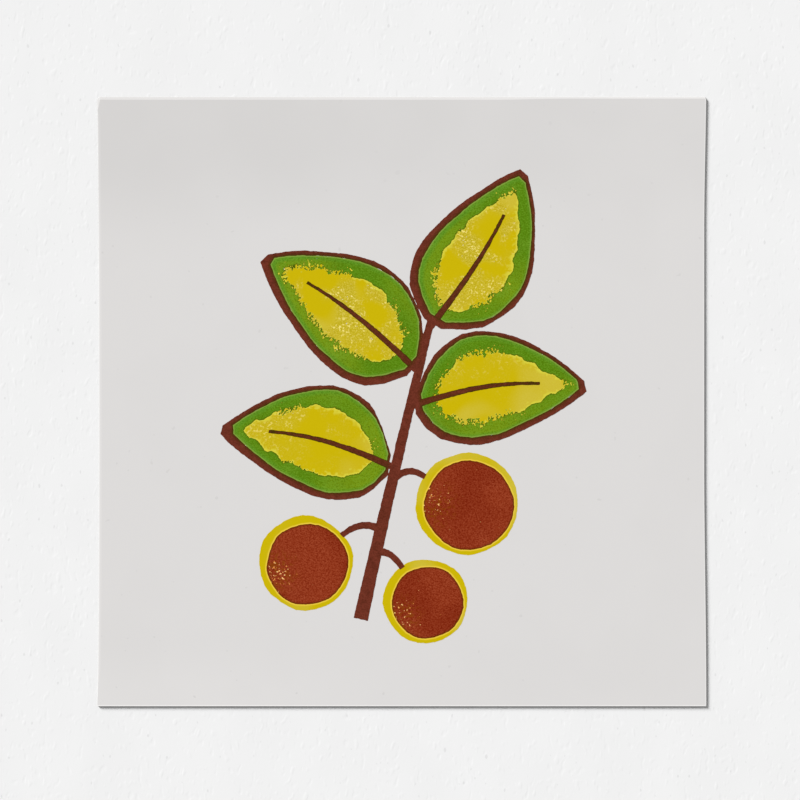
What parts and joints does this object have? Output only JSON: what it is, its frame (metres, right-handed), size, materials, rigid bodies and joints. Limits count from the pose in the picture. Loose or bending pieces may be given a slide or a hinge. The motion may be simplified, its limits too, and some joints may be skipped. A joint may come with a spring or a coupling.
{
  "type": "art print",
  "caption": "Unframed square relief print on heavy paper: a leafy twig with round berries in brown, green, yellow and rust ink.",
  "frame": {"origin": "middle of the sheet's plain back, on the surface that it lies on", "axes": "+Z out of the printed face, +X to the right of the picture, +Y to its top"},
  "size_m": [0.2, 0.2, 0.0006],
  "materials": {
    "paper": "smooth uncoated heavy paper, pale warm grey",
    "brown_ink": "dried relief ink, dark red brown, fine grain",
    "green_ink": "dried relief ink, leaf green, fine grain",
    "yellow_ink": "dried relief ink, strong yellow, paper showing in specks",
    "rust_ink": "dried relief ink, rust red, fine grain"
  },
  "bodies": {
    "root": {"paper_sheet": "paper", "brown_twig": "brown_ink", "green_leaf_1": "green_ink", "green_leaf_2": "green_ink", "green_leaf_3": "green_ink", "green_leaf_4": "green_ink", "yellow_leaf_1": "yellow_ink", "yellow_leaf_2": "yellow_ink", "yellow_leaf_3": "yellow_ink", "yellow_leaf_4": "yellow_ink", "yellow_halo_1": "yellow_ink", "yellow_halo_2": "yellow_ink", "yellow_halo_3": "yellow_ink", "rust_berry_1": "rust_ink", "rust_berry_2": "rust_ink", "rust_berry_3": "rust_ink"}
  },
  "joints": []
}
